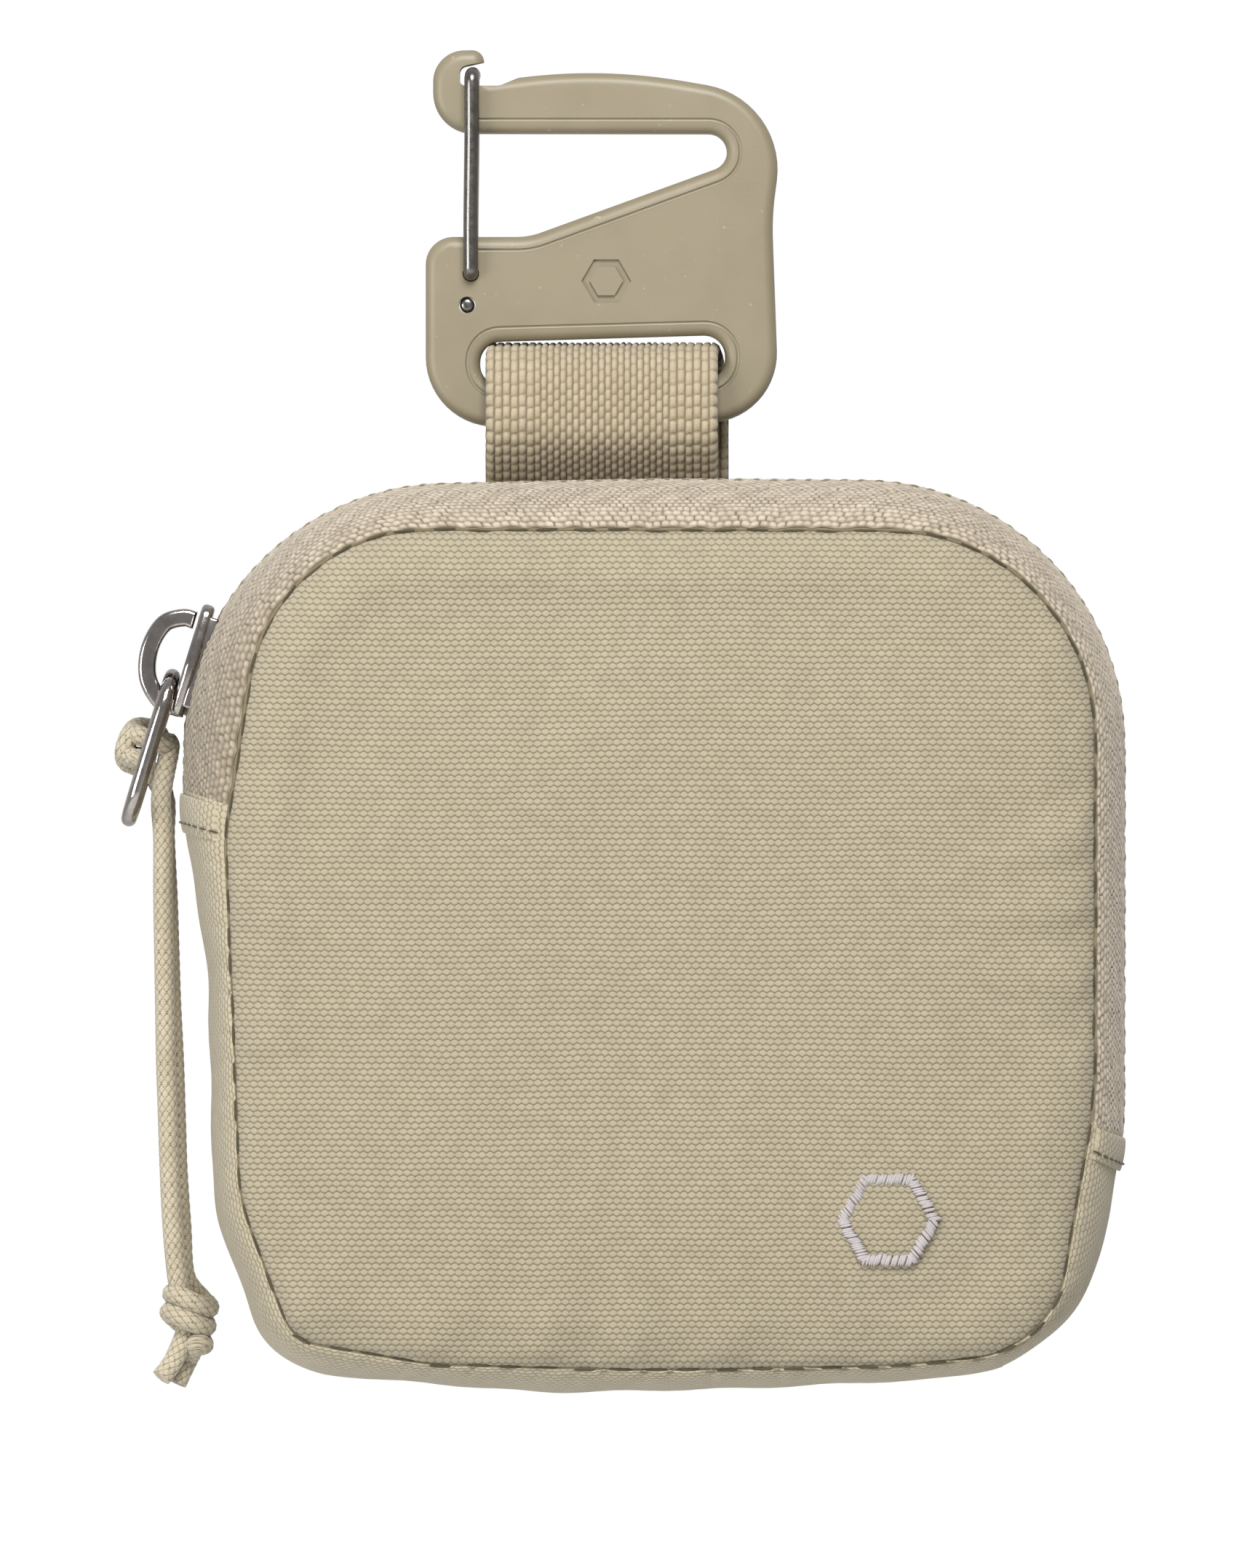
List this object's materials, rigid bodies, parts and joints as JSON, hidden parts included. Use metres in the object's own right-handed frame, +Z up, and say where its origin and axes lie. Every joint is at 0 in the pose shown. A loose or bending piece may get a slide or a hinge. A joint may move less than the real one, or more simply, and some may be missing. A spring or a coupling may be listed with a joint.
{
  "type": "neck pouch wallet",
  "caption": "Small padded zip pouch with rounded corners, hung by a webbing loop from a wire-gate clip hook, with a corded zip pull.",
  "frame": {"origin": "underside of the hook's arm, where the cord or strap that carries it bears, above the middle of the pouch", "axes": "+Z up, +X to the right as seen from the front, +Y away from the viewer, towards the pouch's back panel"},
  "size_m": [0.1102, 0.0297, 0.1455],
  "materials": {
    "hook_plastic": "satin beige moulding, faintly speckled",
    "gate_steel": "drawn wire, bright",
    "webbing": "heavy ribbed webbing",
    "thread": "sewing thread",
    "pouch_fabric": "coarse plain-weave nylon",
    "foam": "closed-cell padding",
    "lining": "thin smooth lining",
    "binding": "woven binding tape",
    "mark_thread": "satin stitch, off-white",
    "zip_tape": "woven zip tape",
    "zip_coil": "nylon coil",
    "dark_nickel": "polished dark nickel",
    "cord": "braided cord"
  },
  "bodies": {
    "hook": {"hook_body": "hook_plastic", "gate_foot": "gate_steel"},
    "gate": {"gate_wire": "gate_steel"},
    "pouch": {"webbing_loop": "webbing", "webbing_stitching": "thread", "back_panel": "pouch_fabric", "back_foam": "foam", "back_lining": "lining", "back_binding": "binding", "card_pocket": "lining", "pocket_hem": "binding", "lower_panel": "pouch_fabric", "lower_foam": "foam", "lower_lining": "lining", "lower_binding": "binding", "lower_gusset": "pouch_fabric", "gusset_lining": "lining", "embroidered_mark": "mark_thread", "zip_tape_back": "zip_tape", "zip_coil_back": "zip_coil", "zip_stops": "dark_nickel", "zip_tab_left": "pouch_fabric", "zip_tab_right": "pouch_fabric"},
    "flap": {"flap_panel": "pouch_fabric", "flap_foam": "foam", "flap_lining": "lining", "flap_binding": "binding", "zip_tape_front": "zip_tape", "zip_coil_front": "zip_coil"},
    "slider": {"slider_body": "dark_nickel", "slider_crown": "dark_nickel"},
    "ring": {"pull_ring": "dark_nickel"},
    "cord": {"cord_hitch": "cord", "cord_strand_a": "cord", "cord_strand_b": "cord", "cord_knot": "cord", "cord_tails": "cord"}
  },
  "joints": [
    {"name": "gate_press", "type": "hinge", "parent": "hook", "child": "gate", "pos_m": [-0.0201, 0.008, -0.0152], "axis": [0, 1, 0], "range_deg": [0, 6], "stiffness_Nm_per_rad": 0.06, "springref_deg": -2.86},
    {"name": "pouch_swing", "type": "hinge", "parent": "hook", "child": "pouch", "pos_m": [-0.0059, 0.008, -0.0293], "axis": [1, 0, 0], "range_deg": [-25, 25]},
    {"name": "flap_fold", "type": "hinge", "parent": "pouch", "child": "flap", "pos_m": [0, -0.01285, -0.0925], "axis": [0.9326, 0, -0.361], "range_deg": [0, 45], "stiffness_Nm_per_rad": 0.02, "springref_deg": -17.19},
    {"name": "slider_travel", "type": "hinge", "parent": "pouch", "child": "slider", "pos_m": [-0.0235, 0, -0.0653], "axis": [0, 1, 0], "range_deg": [0, 59]},
    {"name": "ring_swing", "type": "hinge", "parent": "slider", "child": "ring", "pos_m": [-0.05236, 0, -0.05896], "axis": [0, 1, 0], "range_deg": [0, 50]},
    {"name": "cord_turn", "type": "hinge", "parent": "ring", "child": "cord", "pos_m": [-0.0549, 0.00365, -0.06727], "axis": [0.2924, 0, 0.9563], "range_deg": [-20, 20]}
  ]
}
